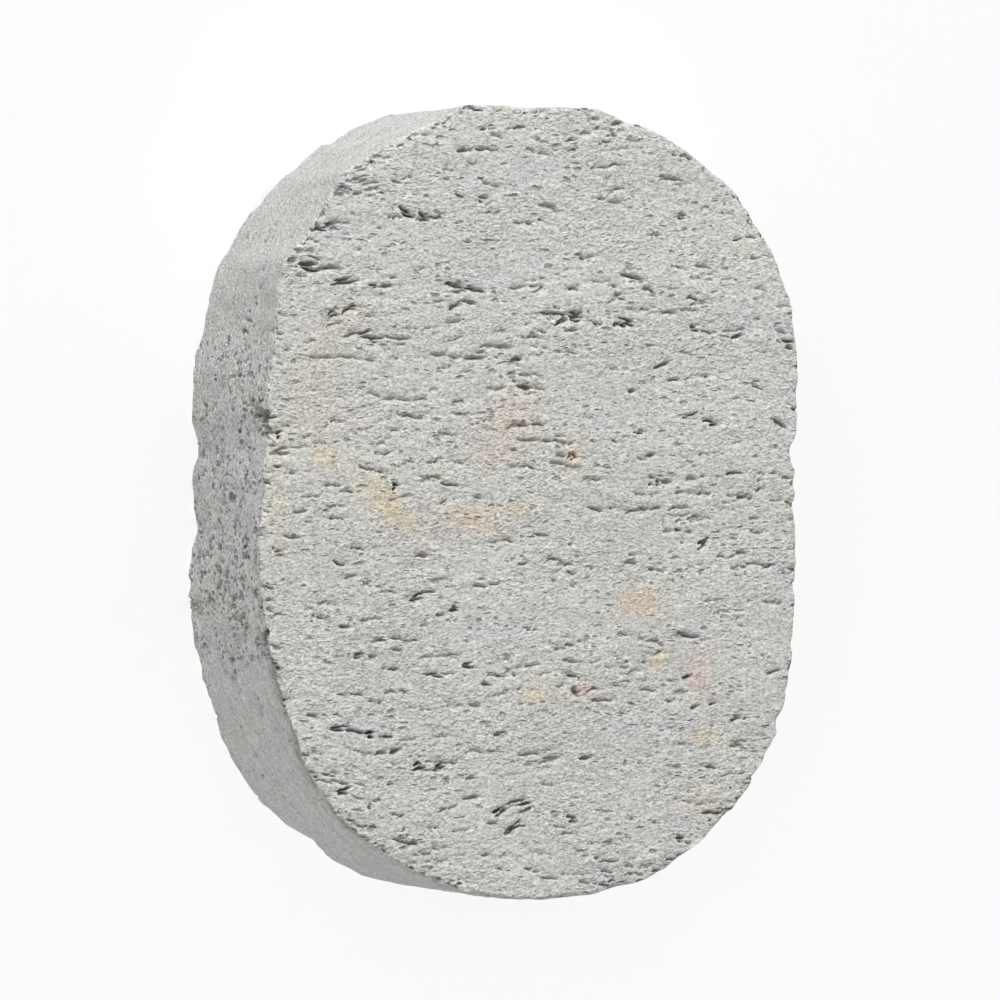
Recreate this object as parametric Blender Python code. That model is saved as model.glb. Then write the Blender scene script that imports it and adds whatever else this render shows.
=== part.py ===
"""A natural pumice stone, sawn and rubbed into a thick oval tablet for smoothing skin.

It lies on one of its two sawn faces. Metres, +Z up. X runs across the tablet, Y along it and
Z through its thickness. The origin is the middle of the flat underside.

The rock is a froth whose bubbles were drawn out along X while it was still soft. So the sawn
faces show long slits, and the rim shows round pores at its two sides, where it cuts across the
drawn-out bubbles.
"""

import math
import random
from typing import NamedTuple

import bmesh
import bpy
import numpy as np
from mathutils import Matrix, Vector, noise

MM = 0.001

# Driving dimensions, in metres.
LENGTH = 95.0 * MM
WIDTH = 69.5 * MM
THICKNESS = 24.0 * MM
STRAIGHT_SIDE = 21.0 * MM  # the nearly straight stretch in the middle of each long side
END_SQUARENESS = 2.18  # 2 makes each end half an ellipse, and more squares its shoulders

RIM_POINTS = 160  # corners of the outline
OUTLINE_SAMPLES = 1440  # points that the outline's formula is read at
# The rim's section: heights through the thickness, each with how far the worn edge draws in there.
RIM_SECTION = (
    (0.0, 0.75 * MM),
    (0.22 * MM, 0.26 * MM),
    (0.8 * MM, 0.0),
    (8.0 * MM, 0.0),
    (16.0 * MM, 0.0),
    (THICKNESS - 0.8 * MM, 0.0),
    (THICKNESS - 0.22 * MM, 0.26 * MM),
    (THICKNESS, 0.75 * MM),
)

BUBBLE_FACETS = 2  # subdivisions of the icosahedron that each bubble starts as
BUBBLE_UNEVENNESS = 0.22  # how far a bubble's wall departs from an ellipsoid, as a share of its radius
BUBBLE_LUMPS = 2.3  # higher makes the unevenness finer
SEED = 11


class Swell(NamedTuple):
    """A stretch where the outline stands out from the plain oval, or in where the height is negative."""

    angle: float  # degrees round the oval from +X
    height: float  # millimetres
    spread: float  # degrees


class Pit(NamedTuple):
    """An opened bubble: its place and size in millimetres, and its lean from X in degrees."""

    x: float
    y: float
    length: float
    width: float
    depth: float
    lean: float = 0.0


# Hand sawing left the outline uneven. On its right the two faces agree, and on its left they don't.
RIGHT_SWELLS = (
    Swell(2, -0.6, 20),
    Swell(42, 0.5, 16),
    Swell(76, -0.25, 10),
    Swell(290, 0.25, 10),
    Swell(313, 0.2, 12),
    Swell(342, -0.3, 12),
)
TOP_SWELLS = (
    *RIGHT_SWELLS,
    Swell(122, 0.15, 7),
    Swell(141, 0.7, 5),
    Swell(158, -0.45, 8),
    Swell(188, 0.85, 11),
    Swell(219, -0.5, 9),
    Swell(246, -0.2, 9),
)
UNDERSIDE_SWELLS = (
    *RIGHT_SWELLS,
    Swell(118, -0.2, 10),
    Swell(160, 0.3, 6),
    Swell(198, 0.5, 8),
    Swell(244, -0.5, 7),
)

# The bubbles that show from a step away on the upper face, from its top end to its lower end.
TOP_PITS = (
    Pit(-23.0, 39.0, 2.6, 1.4, 0.7, 10),
    Pit(18.0, 38.5, 3.2, 0.9, 0.6),
    Pit(-24.5, 36.5, 2.4, 1.2, 0.8),
    Pit(9.0, 36.0, 3.6, 0.9, 0.6, -5),
    Pit(-7.0, 35.5, 1.5, 1.1, 0.7, -20),
    Pit(1.5, 35.0, 3.0, 0.9, 0.6, -15),
    Pit(19.5, 34.5, 1.9, 1.1, 0.7, -15),
    Pit(-16.5, 33.5, 4.2, 1.4, 1.2, -18),
    Pit(-26.5, 32.0, 2.3, 0.9, 0.7, 20),
    Pit(-29.5, 30.0, 2.0, 1.2, 0.6, 30),
    Pit(-31.5, 27.5, 1.8, 1.4, 0.6),
    Pit(-28.5, 27.0, 3.8, 1.3, 1.2, -4),
    Pit(12.5, 26.5, 3.2, 0.9, 0.9, -8),
    Pit(-24.5, 25.5, 4.0, 0.9, 0.9, 14),
    Pit(-21.0, 25.5, 1.8, 0.8, 0.8, 15),
    Pit(15.0, 25.5, 2.3, 1.2, 0.7, -20),
    Pit(21.0, 24.5, 2.4, 0.8, 0.7, -25),
    Pit(-10.0, 23.0, 3.0, 1.0, 0.8, 20),
    Pit(-25.5, 22.0, 3.6, 1.4, 0.8, 18),
    Pit(3.5, 22.0, 5.6, 1.6, 1.2, -6),
    Pit(12.0, 21.0, 2.8, 1.3, 1.2, 8),
    Pit(21.0, 20.5, 1.7, 1.1, 0.9),
    Pit(26.5, 19.5, 1.9, 0.8, 0.8, 10),
    Pit(34.0, 19.0, 1.6, 1.4, 0.9),
    Pit(-2.5, 16.5, 1.3, 0.9, 0.8),
    Pit(-0.5, 13.5, 3.2, 0.8, 0.8, -4),
    Pit(-34.5, 10.0, 2.2, 1.7, 1.2),
    Pit(23.0, 9.5, 1.6, 1.0, 1.0),
    Pit(32.5, 9.5, 3.0, 0.9, 0.8, -25),
    Pit(-33.5, 7.5, 2.2, 1.1, 0.9),
    Pit(16.0, 2.0, 3.0, 1.1, 0.7, 5),
    Pit(-18.0, 1.5, 1.3, 1.1, 1.3),
    Pit(-11.0, 2.0, 3.4, 0.8, 0.7, -8),
    Pit(18.5, -3.5, 3.0, 0.9, 0.8),
    Pit(22.5, -5.0, 2.2, 0.9, 1.0, 25),
    Pit(-25.5, -7.5, 2.6, 0.8, 0.7, -10),
    Pit(3.0, -7.5, 2.6, 1.1, 0.7, -5),
    Pit(-15.0, -11.5, 3.6, 1.1, 0.9, 10),
    Pit(-10.5, -13.0, 1.3, 1.1, 1.2),
    Pit(-24.5, -15.0, 1.8, 0.9, 0.8, 10),
    Pit(20.5, -16.0, 3.2, 0.9, 0.9, -15),
    Pit(-22.5, -18.5, 1.7, 1.0, 0.7),
    Pit(-9.0, -19.5, 2.3, 1.1, 0.9, 5),
    Pit(-13.0, -21.0, 3.4, 1.0, 0.7, 8),
    Pit(31.5, -20.5, 2.4, 0.8, 0.7, 12),
    Pit(20.0, -21.0, 1.9, 0.8, 1.0, 5),
    Pit(5.5, -23.0, 1.7, 0.8, 0.9, -45),
    Pit(26.5, -26.5, 2.2, 1.0, 0.8, 25),
    Pit(-24.0, -27.0, 3.6, 1.2, 0.9, -8),
    Pit(-21.0, -27.5, 1.9, 1.2, 1.2, 12),
    Pit(-18.0, -30.0, 2.6, 1.1, 0.9, 20),
    Pit(-15.0, -31.5, 2.0, 1.3, 1.3, 10),
    Pit(-12.0, -32.0, 1.9, 1.0, 1.1, 20),
    Pit(-2.5, -36.5, 6.2, 1.5, 1.2, 14),
    Pit(23.5, -37.5, 2.8, 0.9, 0.8, 5),
    Pit(5.0, -38.0, 1.9, 1.2, 0.9),
    Pit(-2.5, -39.0, 3.4, 1.3, 1.2, 22),
    Pit(19.0, -41.0, 1.3, 1.2, 0.9),
)
# Stretches where the rim's edge has crumbled: their depth runs up or down the rim.
CRUMBLED_TOP_EDGES = (
    Pit(35.5, 6.5, 2.6, 3.0, 3.0),
    Pit(34.0, -23.5, 2.4, 2.0, 2.0),
)
CRUMBLED_LOWER_EDGES = (
    Pit(-35.5, 6.5, 3.0, 3.4, 7.0),
    Pit(-35.5, -3.0, 2.8, 2.6, 6.0),
    Pit(-34.5, -18.5, 2.4, 2.4, 3.0),
)

# Pits that are placed by chance.
UNDERSIDE_PITS = 22
RIM_PITS = 24
PIT_SPACING = 3.0 * MM  # the least room between two of them
BARE_RADIUS = 4.0 * MM  # none is opened this near the middle of the underside
UNDERSIDE_REACH = 0.42  # how far out they go on the underside, as a share of its length and width
RIM_REACH = (0.15, 0.85)  # how far up the rim they go, as shares of the thickness
END_SHARE = 0.1  # how often the rim's two ends have one, beside its two sides


def swell_at(angle, swells):
    """How far the outline stands out at an angle, in metres."""
    total = 0.0
    for swell in swells:
        away = (math.degrees(angle) - swell.angle + 180) % 360 - 180
        total += swell.height * math.exp(-((away / swell.spread) ** 2))
    return total * MM


def oval(swells):
    """The outline's corners, evenly spaced round an oval with straight sides and squared round ends."""
    corners = []
    for step in range(OUTLINE_SAMPLES):
        turn = math.tau * step / OUTLINE_SAMPLES
        across, along = math.cos(turn), math.sin(turn)
        power = 2 / END_SQUARENESS
        x = WIDTH / 2 * math.copysign(abs(across) ** power, across)
        y = (LENGTH - STRAIGHT_SIDE) / 2 * math.copysign(abs(along) ** power, along)
        y += math.copysign(STRAIGHT_SIDE / 2, along)
        reach = math.hypot(x, y)
        grown = 1 + swell_at(math.atan2(y, x), swells) / reach
        corners.append((x * grown, y * grown))
    closed = np.array([*corners, corners[0]])
    walked = np.r_[0, np.cumsum(np.hypot(*np.diff(closed, axis=0).T))]
    stops = np.linspace(0, walked[-1], RIM_POINTS, endpoint=False)
    return np.stack([np.interp(stops, walked, closed[:, i]) for i in (0, 1)], axis=1)


def outward(corners):
    """The outward direction at each corner of an outline."""
    along = np.roll(corners, -1, axis=0) - np.roll(corners, 1, axis=0)
    across = np.stack([along[:, 1], -along[:, 0]], axis=1)
    return across / np.linalg.norm(across, axis=1)[:, None]


def ring_at(height, drawn_in):
    """The tablet's section at one height, in from the rim by the wear of its edge."""
    share = height / THICKNESS
    corners = (1 - share) * oval(UNDERSIDE_SWELLS) + share * oval(TOP_SWELLS)
    return corners - outward(corners) * drawn_in


def stacked_rings():
    """The tablet's rings from bottom to top, centred on the origin."""
    rings = [ring_at(height, drawn_in) for height, drawn_in in RIM_SECTION]
    return rings - (np.max(rings, axis=(0, 1)) + np.min(rings, axis=(0, 1))) / 2


def tablet(rings):
    """The tablet before any bubble is opened: rings joined by faces, flat at both ends."""
    bm = bmesh.new()
    loops = []
    for corners, (height, _) in zip(rings, RIM_SECTION, strict=True):
        capped = height in (0.0, THICKNESS)
        made = bmesh.ops.create_circle(bm, cap_ends=capped, segments=RIM_POINTS, radius=WIDTH / 2)
        for vertex, (x, y) in zip(made["verts"], corners, strict=True):
            vertex.co = (x, y, height)
        ring = set(made["verts"])
        loops.append([edge for edge in bm.edges if ring.issuperset(edge.verts)])
    for lower, upper in zip(loops, loops[1:], strict=False):
        bmesh.ops.bridge_loops(bm, edges=lower + upper)
    bmesh.ops.recalc_face_normals(bm, faces=bm.faces)
    return finished_mesh(bm, "pumice_stone")


def finished_mesh(bm, name):
    mesh = bpy.data.meshes.new(name)
    bm.to_mesh(mesh)
    bm.free()
    return mesh


def open_bubble(bm, middle, half_axes, lean=0.0):
    """Adds one uneven ellipsoid to the mesh of cutters."""
    made = bmesh.ops.create_icosphere(bm, subdivisions=BUBBLE_FACETS, radius=1.0)
    place = Matrix.Translation(middle) @ Matrix.Rotation(math.radians(lean), 4, "Z")
    for vertex in made["verts"]:
        wall = 1 + BUBBLE_UNEVENNESS * noise.noise(vertex.co * BUBBLE_LUMPS + middle / MM)
        vertex.co = place @ (vertex.co * Vector(half_axes) * wall)


def open_listed(bm, pits, height):
    """Opens the bubbles of a list, all at one height."""
    for pit in pits:
        place = Vector((pit.x * MM, pit.y * MM, height))
        open_bubble(bm, place, (pit.length / 2 * MM, pit.width / 2 * MM, pit.depth * MM), pit.lean)


def has_room(place, placed):
    return all((place - other).length > PIT_SPACING for other in placed)


def open_underside(bm, chance):
    """Opens bubbles by chance in the underside, but not in its middle."""
    placed = []
    while len(placed) < UNDERSIDE_PITS:
        across, along = chance.uniform(-1, 1), chance.uniform(-1, 1)
        place = Vector((across * WIDTH, along * LENGTH, 0)) * UNDERSIDE_REACH
        if across**4 + along**4 > 1 or place.length < BARE_RADIUS or not has_room(place, placed):
            continue
        placed.append(place)
        half_axes = Vector((chance.uniform(0.9, 2.2), chance.uniform(0.5, 0.8), chance.uniform(0.6, 1.1)))
        open_bubble(bm, place, half_axes * MM, chance.gauss(0, 12))


def open_rim(bm, chance, outline):
    """Opens bubbles by chance in the rim, most of them at its two sides, which cut them across."""
    facing = outward(outline)
    placed = []
    while len(placed) < RIM_PITS:
        corner = chance.randrange(RIM_POINTS)
        place = Vector((*outline[corner], chance.uniform(*RIM_REACH) * THICKNESS))
        if chance.random() > facing[corner][0] ** 2 + END_SHARE or not has_room(place, placed):
            continue
        placed.append(place)
        half_axes = Vector((chance.uniform(1.1, 1.8), chance.uniform(0.5, 0.9), chance.uniform(0.4, 0.8)))
        open_bubble(bm, place, half_axes * MM)


def bubble_cutters(rings):
    chance = random.Random(SEED)
    bm = bmesh.new()
    open_listed(bm, TOP_PITS + CRUMBLED_TOP_EDGES, THICKNESS)
    open_listed(bm, CRUMBLED_LOWER_EDGES, 0.0)
    open_underside(bm, chance)
    open_rim(bm, chance, rings[len(rings) // 2])
    return finished_mesh(bm, "opened_bubbles")


def pumice_material():
    material = bpy.data.materials.new("pumice")
    material.use_nodes = True
    shader = material.node_tree.nodes["Principled BSDF"]
    shader.inputs["Base Color"].default_value = (0.49, 0.49, 0.46, 1.0)
    shader.inputs["Roughness"].default_value = 0.95
    shader.inputs["Metallic"].default_value = 0.0
    material.diffuse_color = (0.49, 0.49, 0.46, 1.0)
    return material


def clear_scene():
    for obj in list(bpy.data.objects):
        bpy.data.objects.remove(obj)


def collection_named(name):
    collection = bpy.data.collections.new(name)
    bpy.context.scene.collection.children.link(collection)
    return collection


def main():
    clear_scene()
    rings = stacked_rings()
    stone = bpy.data.objects.new("pumice_stone", tablet(rings))
    stone.data.materials.append(pumice_material())
    collection_named("pumice stone").objects.link(stone)

    cutters = bpy.data.objects.new("opened_bubbles", bubble_cutters(rings))
    cutters.hide_render = True
    cutters.display_type = "WIRE"
    collection_named("cutters").objects.link(cutters)

    cut = stone.modifiers.new("open the bubbles", "BOOLEAN")
    cut.operation = "DIFFERENCE"
    cut.solver = "EXACT"
    cut.use_self = True
    cut.object = cutters


if __name__ == "__main__":
    main()
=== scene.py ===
"""Finishes an oval tablet of natural pumice: its opened bubbles, fibres, stains and rubbed rim.

Run as a script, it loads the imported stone, carves a finer one in its place and lights it in a
small studio. Metres, +Z up. X runs across the tablet and along the drawn-out bubbles, Y along
the tablet and Z through its thickness.
"""

import itertools
import math
from typing import NamedTuple

import bmesh
import bpy
import numpy as np
from mathutils import Matrix, Vector


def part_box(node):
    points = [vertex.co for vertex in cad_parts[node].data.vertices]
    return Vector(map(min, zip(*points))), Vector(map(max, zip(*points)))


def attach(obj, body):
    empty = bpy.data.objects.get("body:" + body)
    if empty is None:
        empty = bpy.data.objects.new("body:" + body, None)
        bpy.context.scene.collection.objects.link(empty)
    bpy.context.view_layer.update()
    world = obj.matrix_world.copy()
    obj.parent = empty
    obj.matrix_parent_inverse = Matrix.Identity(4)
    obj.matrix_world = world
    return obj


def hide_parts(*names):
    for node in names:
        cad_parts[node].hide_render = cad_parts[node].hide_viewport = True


bl_info = {
    "name": "Pumice Stone",
    "version": (1, 0, 0),
    "blender": (4, 5, 0),
    "location": "View3D > Sidebar > Pumice",
    "description": "Carves and finishes an oval tablet of natural pumice, and lights it",
    "category": "Add Mesh",
}

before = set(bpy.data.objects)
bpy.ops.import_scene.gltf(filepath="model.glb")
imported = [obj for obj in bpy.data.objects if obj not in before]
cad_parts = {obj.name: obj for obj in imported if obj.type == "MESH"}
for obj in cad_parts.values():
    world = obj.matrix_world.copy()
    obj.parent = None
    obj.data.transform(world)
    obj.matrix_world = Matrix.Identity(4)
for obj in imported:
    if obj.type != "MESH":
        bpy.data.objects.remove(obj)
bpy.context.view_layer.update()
CAD_NODE = "pumice_stone"
STONE = CAD_NODE + "_carved"
LOW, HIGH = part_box(CAD_NODE)

MM = 0.001
# The tablet, in millimetres. Its ends are half ovals, and a squareness of 2 would make them true ones.
WIDTH = 69.5
LENGTH = (HIGH.y - LOW.y) / MM
THICKNESS = (HIGH.z - LOW.z) / MM
STRAIGHT_SIDE = 21.0
END_SQUARENESS = 2.18


class Pit(NamedTuple):
    """An opened bubble, in millimetres. Its lean is in degrees from X, and its rust from 0 to 1."""

    x: float
    y: float
    length: float
    width: float
    depth: float
    lean: float = 0.0
    rust: float = 0.3
    arch: float = 0.0  # how far its ends drop below its middle


class Cluster(NamedTuple):
    """Small pores crowded together in the left side of the rim, in millimetres."""

    y: float
    z: float
    spread: float
    pores: int
    width: float


class Chip(NamedTuple):
    """A piece broken out of an edge of the rim, in millimetres."""

    x: float
    y: float
    z: float
    half_axes: tuple
    lean: float = 0.0  # degrees from X


class Stain(NamedTuple):
    """A patch coloured by iron, in millimetres. Its hue runs from 0, ochre, to 1, rose."""

    x: float
    y: float
    length: float
    width: float
    lean: float
    strength: float
    hue: float


# How far the outline stands out from the plain oval, or in where it is negative: degrees round
# from +X, then millimetres. The left side differs between the two faces.
RIGHT_STANCE = (
    (4, 0.1), (10, -0.3), (15, 0.4), (22, 0.7), (37, 1.2), (44, 1.2), (47, 0.9), (54, 1.1), (60, 0.6),
    (66, 0.4), (72, 0.1), (75, -0.2), (80, 0.2), (84, -0.1), (91, -0.5), (262, 0.2), (281, 0.4),
    (289, 0.8), (293, 0.6), (303, 0.7), (307, 1.0), (312, 0.7), (316, 0.8), (319, 1.2), (321, 0.7),
    (323, 0.9), (327, 0.7), (329, 0.3), (333, 0.4), (338, 0.2), (343, 0.1), (349, 0.3), (353, 0.2),
    (359, 0.0),
)
TOP_STANCE = RIGHT_STANCE + (
    (96, -0.2), (101, 0.3), (107, -0.5), (113, -0.4), (118, -0.1), (123, 0.6), (125, 0.0), (129, -0.4),
    (133, -0.3), (139, 0.9), (143, 0.4), (146, -0.2), (151, -0.6), (165, -0.3), (177, 0.2), (187, 0.6),
    (193, 0.7), (199, 0.3), (207, -0.2), (213, -0.6), (222, -0.8), (226, -0.2), (239, 0.0), (248, -0.3),
)
UNDERSIDE_STANCE = RIGHT_STANCE + (
    (95, 0.1), (101, 0.6), (107, 0.3), (111, -0.3), (113, 0.1), (118, -0.3), (130, -0.2), (135, -0.2),
    (140, 0.1), (148, -0.3), (156, 0.2), (160, 0.0), (164, 0.2), (170, -0.5), (175, 0.1), (181, -0.1),
    (186, -0.5), (190, 0.2), (196, 0.5), (205, 0.4), (212, -0.3), (220, -0.5), (224, -0.1), (234, -0.2),
    (240, -0.4), (245, -0.8), (250, 0.1), (255, 0.3),
)

# The bubbles that stand out on the upper face, from its top end to its lower end.
TOP_PITS = (
    Pit(-22.8, 38.8, 1.6, 0.7, 0.4, 12, 0.2),
    Pit(17.8, 38.6, 3.2, 0.5, 0.6, 0, 0.3, 0.2),
    Pit(-24.5, 36.4, 1.8, 0.7, 0.6, -5, 0.4),
    Pit(8.8, 36.1, 1.4, 0.6, 0.5, -5, 0.2),
    Pit(10.4, 35.8, 1.6, 0.5, 0.5, -10, 0.2),
    Pit(-7.0, 35.7, 1.4, 0.9, 0.7, -20, 0.1),
    Pit(-18.2, 37.5, 1.4, 0.5, 0.5, -10, 0.7),
    Pit(1.7, 34.9, 3.0, 0.6, 0.6, -15, 0.2, 0.3),
    Pit(19.4, 34.4, 1.5, 0.9, 0.7, -15, 0.1),
    Pit(-16.9, 33.9, 2.8, 0.9, 1.2, -24, 0.7),
    Pit(-14.8, 33.4, 2.2, 1.0, 1.1, -8, 0.6),
    Pit(-12.9, 33.3, 1.6, 0.4, 0.5, 0, 0.3),
    Pit(-26.5, 32.2, 2.0, 0.6, 0.8, 14, 0.2),
    Pit(-29.4, 30.4, 1.2, 0.6, 0.5, 15, 0.4),
    Pit(-31.4, 27.9, 1.3, 0.7, 0.6, 10, 0.3),
    Pit(-30.2, 29.0, 1.0, 0.5, 0.5, 20, 0.5),
    Pit(-29.1, 27.3, 2.8, 1.0, 1.2, -6, 0.3),
    Pit(-26.6, 27.2, 3.4, 0.6, 0.7, 4, 0.3, 0.2),
    Pit(-28.5, 28.3, 1.9, 0.5, 0.6, -22, 0.3),
    Pit(12.7, 26.8, 3.2, 0.6, 0.9, -6, 0.2),
    Pit(-24.4, 25.7, 3.7, 0.7, 1.1, 16, 0.2),
    Pit(-21.0, 25.2, 1.6, 0.7, 1.0, 15, 0.1),
    Pit(-19.6, 25.1, 1.8, 0.3, 0.5, -5, 0.2),
    Pit(-18.2, 26.2, 0.9, 0.5, 0.6, 0, 0.1),
    Pit(14.8, 25.3, 2.2, 0.5, 0.7, -20, 0.9, 0.5),
    Pit(15.3, 24.6, 1.5, 0.4, 0.5, -10, 0.8),
    Pit(10.1, 25.6, 0.6, 0.5, 0.6, 0, 0.1),
    Pit(10.8, 24.5, 1.2, 0.6, 0.7, -20, 0.2),
    Pit(10.0, 23.9, 0.7, 0.5, 0.5, 10, 0.2),
    Pit(20.8, 24.4, 2.0, 0.5, 0.8, -28, 0.8),
    Pit(22.2, 23.8, 0.9, 0.4, 0.5, -30, 0.8),
    Pit(0.3, 25.2, 1.2, 0.6, 0.6, 35, 0.2),
    Pit(-10.4, 22.9, 1.6, 0.6, 0.8, 38, 0.7),
    Pit(-8.8, 23.4, 2.4, 0.4, 0.6, -12, 0.6),
    Pit(-10.0, 24.7, 2.4, 0.4, 0.6, -2, 0.2),
    Pit(-12.6, 23.5, 1.6, 0.4, 0.5, 10, 0.2),
    Pit(-26.2, 21.7, 2.0, 0.8, 0.9, 38, 0.9, 0.2),
    Pit(-24.2, 22.3, 2.2, 0.7, 0.9, 8, 0.8, 0.3),
    Pit(-26.0, 20.6, 1.6, 0.3, 0.5, 22, 1.0),
    Pit(-23.6, 19.4, 2.6, 0.4, 0.7, 14, 0.5),
    Pit(-22.1, 19.7, 1.4, 0.6, 0.9, 25, 0.4),
    Pit(-21.1, 18.6, 0.8, 0.5, 0.8, 0, 0.1),
    Pit(2.6, 22.3, 4.2, 0.5, 0.8, -4, 0.3),
    Pit(5.3, 22.0, 2.2, 1.1, 1.3, -10, 0.5),
    Pit(3.2, 21.3, 1.9, 0.7, 1.1, 24, 0.4),
    Pit(4.8, 20.3, 2.0, 0.5, 0.7, 5, 0.3),
    Pit(12.0, 21.2, 1.9, 1.1, 1.3, -15, 0.3),
    Pit(10.6, 21.1, 1.7, 0.5, 0.8, 18, 0.3),
    Pit(21.2, 20.7, 1.3, 0.8, 0.9, 0, 0.2),
    Pit(26.6, 19.8, 1.6, 0.5, 1.0, 15, 0.1),
    Pit(34.0, 19.0, 1.6, 1.0, 0.9, 0, 0.2),
    Pit(-2.4, 16.7, 1.1, 0.6, 1.0, 8, 0.1),
    Pit(16.7, 16.4, 2.4, 0.6, 0.9, 22, 0.2, 0.2),
    Pit(-1.5, 13.4, 2.2, 0.6, 1.0, -6, 0.3),
    Pit(0.2, 13.3, 1.8, 0.4, 0.5, -4, 0.3),
    Pit(-2.8, 14.2, 1.2, 0.4, 0.6, -14, 0.2),
    Pit(18.3, 14.5, 1.6, 0.4, 0.7, 5, 0.2),
    Pit(12.7, 13.2, 0.9, 0.6, 0.8, 0, 0.1),
    Pit(20.9, 10.5, 1.6, 0.4, 0.7, 20, 0.2),
    Pit(-34.9, 9.8, 2.2, 1.5, 1.3, 15, 0.5),
    Pit(-36.0, 10.6, 1.6, 1.2, 1.1, 0, 0.5),
    Pit(22.8, 9.4, 1.4, 0.8, 1.2, 5, 0.2),
    Pit(32.6, 9.5, 2.8, 0.5, 0.8, -24, 0.2),
    Pit(-34.3, 7.4, 1.0, 0.9, 0.9, 0, 0.5),
    Pit(-33.1, 7.5, 0.9, 1.0, 0.9, 0, 0.5),
    Pit(-33.0, 3.8, 1.7, 0.4, 0.7, -8, 0.2),
    Pit(4.8, 5.2, 1.4, 1.0, 0.8, 60, 0.9),
    Pit(15.2, 5.5, 1.5, 0.5, 0.7, 18, 0.6),
    Pit(14.0, 5.0, 1.4, 0.3, 0.5, -18, 0.6),
    Pit(15.0, 1.9, 0.8, 0.5, 0.7, 0, 0.2),
    Pit(16.2, 2.1, 1.0, 0.7, 0.8, -10, 0.2),
    Pit(17.4, 2.2, 1.2, 0.6, 0.7, 15, 0.2),
    Pit(26.3, 3.4, 2.4, 0.4, 0.8, 8, 0.2, 0.3),
    Pit(27.3, 0.4, 1.5, 0.5, 0.8, 10, 0.2),
    Pit(20.4, 2.6, 2.0, 0.5, 0.7, 15, 0.2, 0.3),
    Pit(8.0, -1.1, 2.4, 0.4, 0.7, -12, 0.2),
    Pit(-18.2, 1.5, 1.1, 0.8, 1.4, 15, 0.1),
    Pit(-13.3, 2.5, 3.4, 0.4, 0.6, 2, 0.2, 0.9),
    Pit(-11.0, 1.8, 2.2, 0.4, 0.8, -6, 0.1),
    Pit(18.7, -3.5, 1.0, 0.6, 1.0, 0, 0.1),
    Pit(17.4, -3.7, 1.4, 0.3, 0.5, 14, 0.2),
    Pit(20.2, -3.8, 1.5, 0.3, 0.5, -12, 0.2),
    Pit(22.3, -5.1, 2.2, 0.7, 1.1, 26, 0.2),
    Pit(27.5, -6.3, 1.5, 0.5, 0.7, 0, 0.2),
    Pit(-31.3, -4.4, 2.4, 0.4, 0.6, -5, 0.2),
    Pit(-25.3, -7.6, 1.8, 0.5, 0.8, -12, 0.2),
    Pit(-23.5, -8.8, 1.3, 0.4, 0.6, 10, 0.2),
    Pit(-14.5, -6.6, 2.0, 0.4, 0.6, -4, 0.2),
    Pit(-1.4, -7.6, 1.6, 0.5, 0.7, 12, 0.2),
    Pit(2.4, -7.1, 2.2, 0.4, 0.7, 4, 0.2, 0.4),
    Pit(3.4, -7.8, 1.2, 0.5, 0.6, -15, 0.2),
    Pit(4.5, -8.7, 1.5, 0.4, 0.6, -10, 0.2),
    Pit(-15.4, -11.5, 2.4, 0.7, 1.0, 14, 0.4),
    Pit(-13.8, -11.0, 1.4, 0.4, 0.7, -4, 0.4),
    Pit(-10.7, -12.8, 0.8, 0.7, 1.2, 0, 0.1),
    Pit(-12.3, -13.7, 1.6, 0.4, 0.7, 5, 0.2),
    Pit(-24.3, -15.0, 1.7, 0.6, 0.8, 10, 0.3),
    Pit(20.5, -16.2, 3.0, 0.6, 0.9, -13, 0.2),
    Pit(-22.6, -18.3, 1.5, 0.8, 0.8, 0, 0.9),
    Pit(-20.8, -18.4, 0.9, 0.6, 0.7, 0, 0.7),
    Pit(-17.8, -17.7, 1.4, 0.4, 0.7, 8, 0.2),
    Pit(-18.3, -19.9, 1.6, 0.4, 0.7, 12, 0.2),
    Pit(-8.8, -19.6, 2.1, 0.7, 1.0, 5, 0.3),
    Pit(-12.8, -20.8, 1.6, 0.7, 0.9, 12, 0.2),
    Pit(-11.2, -20.6, 1.8, 0.3, 0.5, -4, 0.2),
    Pit(-6.2, -21.9, 1.4, 0.5, 0.8, 0, 0.3),
    Pit(31.7, -20.7, 2.2, 0.5, 0.7, 12, 0.2),
    Pit(20.2, -21.2, 1.7, 0.5, 1.1, 6, 0.2),
    Pit(15.0, -22.8, 2.4, 0.4, 0.6, -6, 0.2),
    Pit(5.5, -22.9, 1.8, 0.5, 0.9, -48, 0.7),
    Pit(7.6, -22.7, 1.7, 0.4, 0.8, 15, 0.9, 0.4),
    Pit(-25.1, -27.0, 2.4, 0.7, 1.0, -4, 0.8),
    Pit(-23.0, -27.3, 2.2, 0.6, 0.9, -8, 0.7),
    Pit(-21.2, -27.6, 1.5, 0.9, 1.3, 18, 0.6),
    Pit(-19.9, -29.9, 1.3, 0.6, 0.8, 10, 0.2),
    Pit(-18.1, -29.7, 1.9, 0.6, 1.0, 22, 0.3),
    Pit(-14.8, -31.4, 1.7, 1.0, 1.4, 12, 0.6),
    Pit(-12.2, -31.7, 1.6, 0.7, 1.2, 24, 0.4),
    Pit(-24.4, -34.3, 1.9, 0.9, 1.1, 8, 0.6),
    Pit(-8.0, -35.3, 2.2, 0.5, 0.8, 8, 0.3),
    Pit(-4.2, -36.9, 2.6, 0.9, 1.2, 24, 0.5),
    Pit(-1.6, -36.0, 3.4, 0.7, 1.0, 6, 0.4),
    Pit(-1.0, -36.9, 2.4, 0.4, 0.7, 14, 0.4),
    Pit(-2.4, -38.9, 2.9, 0.8, 1.2, 26, 0.4),
    Pit(5.0, -38.0, 1.7, 1.0, 0.9, 0, 0.9),
    Pit(19.2, -40.8, 1.1, 0.9, 1.0, 0, 0.1),
    Pit(23.6, -37.7, 2.5, 0.5, 0.8, 5, 0.7),
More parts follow.
